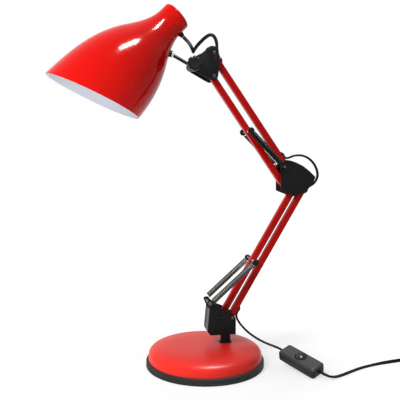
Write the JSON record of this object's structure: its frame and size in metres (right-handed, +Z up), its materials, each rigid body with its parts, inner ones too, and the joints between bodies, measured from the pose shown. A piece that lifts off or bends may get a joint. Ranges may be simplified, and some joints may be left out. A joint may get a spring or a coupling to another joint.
{
  "type": "desk lamp",
  "caption": "Architect desk lamp: weighted round base, swivel bracket, two sprung parallelogram arms and a tilting bell shade with a slanted mouth, on a flat cord with switch and plug.",
  "frame": {"origin": "centre of the round base, on the table", "axes": "+Z up; the arms lie in the XZ plane, the lower arm leans to +X and the shade hangs over -X; -Y faces the side that shows the clamp knob"},
  "size_m": [0.6695, 0.1986, 0.5391],
  "materials": {
    "red_tube": "gloss",
    "red_shade": "gloss",
    "red_base": "satin",
    "black_metal": "satin",
    "steel": "satin",
    "zinc_steel": "satin",
    "copper_rivet": "satin",
    "cast_iron": "rough",
    "black_rubber": "matt",
    "felt": "matt",
    "black_plastic": "satin",
    "nylon": "matt",
    "dark_spring": "satin",
    "grey_spring": "satin",
    "cord_pvc": "satin",
    "switch_plastic": "satin",
    "holder_white": "gloss",
    "brass": "satin",
    "nickel": "polished",
    "opal_glass": "opal"
  },
  "bodies": {
    "base": {"base_ring": "black_rubber", "base_pad": "felt", "base_plate": "zinc_steel", "base_screws": "zinc_steel", "base_weight": "cast_iron", "base_dome": "red_base", "post_socket": "black_metal", "switch_base": "switch_plastic", "switch_top": "switch_plastic", "mains_run": "cord_pvc", "cord_coil": "cord_pvc", "coil_tie": "nylon", "plug_lead": "cord_pvc", "plug_body": "black_plastic", "plug_pins": "nickel"},
    "foot_bracket": {"swivel_post": "black_metal", "lower_bracket": "black_metal", "lower_pivot_pins": "copper_rivet", "lower_spacers": "nylon", "lower_spring_anchor": "steel", "lower_springs": "grey_spring"},
    "lower_rear_arm": {"lower_rear_tube": "red_tube", "lower_cord_hoods": "nylon", "mains_drop": "cord_pvc"},
    "lower_front_arm": {"lower_front_tube": "red_tube", "lower_cross_pin": "steel", "lower_pin_caps": "black_plastic"},
    "elbow_bracket": {"elbow_plate_near": "black_metal", "elbow_plate_far": "black_metal", "elbow_pivot_pins": "black_metal", "elbow_spacers": "nylon", "upper_spring_anchor": "steel", "upper_springs": "dark_spring"},
    "upper_rear_arm": {"upper_rear_tube": "red_tube", "upper_cord_hoods": "nylon", "elbow_cord": "cord_pvc"},
    "upper_front_arm": {"upper_front_tube": "red_tube", "upper_cross_pin": "steel", "upper_pin_caps": "black_plastic"},
    "head_bracket": {"head_plate_near": "black_metal", "head_plate_far": "black_metal", "head_pivot_pins": "black_metal", "head_spacers": "nylon", "clamp_bolt": "steel"},
    "knob": {"clamp_knob": "black_plastic"},
    "stem": {"stem": "steel", "stem_nuts": "steel"},
    "shade": {"shade_shell": "red_shade", "stem_saddles": "nylon", "cord_gland": "black_plastic", "holder_stud": "zinc_steel", "lamp_holder": "holder_white", "holder_thread": "brass", "bulb_cap": "nickel", "bulb_glass": "opal_glass", "head_cord": "cord_pvc"},
    "rocker": {"switch_rocker": "switch_plastic"}
  },
  "joints": [
    {"name": "base_swivel", "type": "hinge", "parent": "base", "child": "foot_bracket", "pos_m": [0.032, 0, 0.0486], "axis": [0, 0, 1], "range_deg": [-120, 120], "deforming": ["mains_drop"]},
    {"name": "lower_arm_tilt", "type": "hinge", "parent": "foot_bracket", "child": "lower_rear_arm", "pos_m": [0.0396, 0, 0.0731], "axis": [0, 1, 0], "range_deg": [-50, 14], "deforming": ["mains_drop", "lower_springs"]},
    {"name": "lower_front_follow", "type": "hinge", "parent": "foot_bracket", "child": "lower_front_arm", "pos_m": [0.024, 0, 0.0731], "axis": [0, 1, 0], "range_deg": [-50, 14], "deforming": ["lower_springs"]},
    {"name": "elbow_level", "type": "hinge", "parent": "lower_rear_arm", "child": "elbow_bracket", "pos_m": [0.15684, 0, 0.27214], "axis": [0, 1, 0], "range_deg": [-14, 50], "deforming": ["elbow_cord"]},
    {"name": "upper_arm_tilt", "type": "hinge", "parent": "elbow_bracket", "child": "upper_rear_arm", "pos_m": [0.12454, 0, 0.30614], "axis": [0, 1, 0], "range_deg": [-75, 15], "deforming": ["elbow_cord", "upper_springs"]},
    {"name": "upper_front_follow", "type": "hinge", "parent": "elbow_bracket", "child": "upper_front_arm", "pos_m": [0.12454, 0, 0.27214], "axis": [0, 1, 0], "range_deg": [-75, 15], "deforming": ["upper_springs"]},
    {"name": "head_level", "type": "hinge", "parent": "upper_rear_arm", "child": "head_bracket", "pos_m": [0.01125, 0, 0.46913], "axis": [0, 1, 0], "range_deg": [-15, 75], "deforming": ["head_cord"]},
    {"name": "head_tilt", "type": "hinge", "parent": "head_bracket", "child": "stem", "pos_m": [-0.01995, 0, 0.45143], "axis": [0, 1, 0], "range_deg": [-60, 60], "deforming": ["head_cord"]},
    {"name": "shade_turn", "type": "hinge", "parent": "stem", "child": "shade", "pos_m": [-0.05306, 0, 0.46904], "axis": [-0.8829, 0, 0.4695], "range_deg": [-60, 60], "deforming": ["head_cord"]},
    {"name": "knob_turn", "type": "hinge", "parent": "head_bracket", "child": "knob", "pos_m": [-0.01995, -0.0236, 0.45143], "axis": [0, 1, 0], "range_deg": [-180, 180]},
    {"name": "switch_rocker_tilt", "type": "hinge", "parent": "base", "child": "rocker", "pos_m": [0.13314, -0.05778, 0.0175], "axis": [0.8639, 0.4242, 0.2715], "range_deg": [-12, 0]}
  ],
  "couplings": [
    {"joint": "lower_front_follow", "follows": "lower_arm_tilt", "ratio": 1},
    {"joint": "elbow_level", "follows": "lower_arm_tilt", "ratio": -1},
    {"joint": "upper_front_follow", "follows": "upper_arm_tilt", "ratio": 1},
    {"joint": "head_level", "follows": "upper_arm_tilt", "ratio": -1}
  ]
}
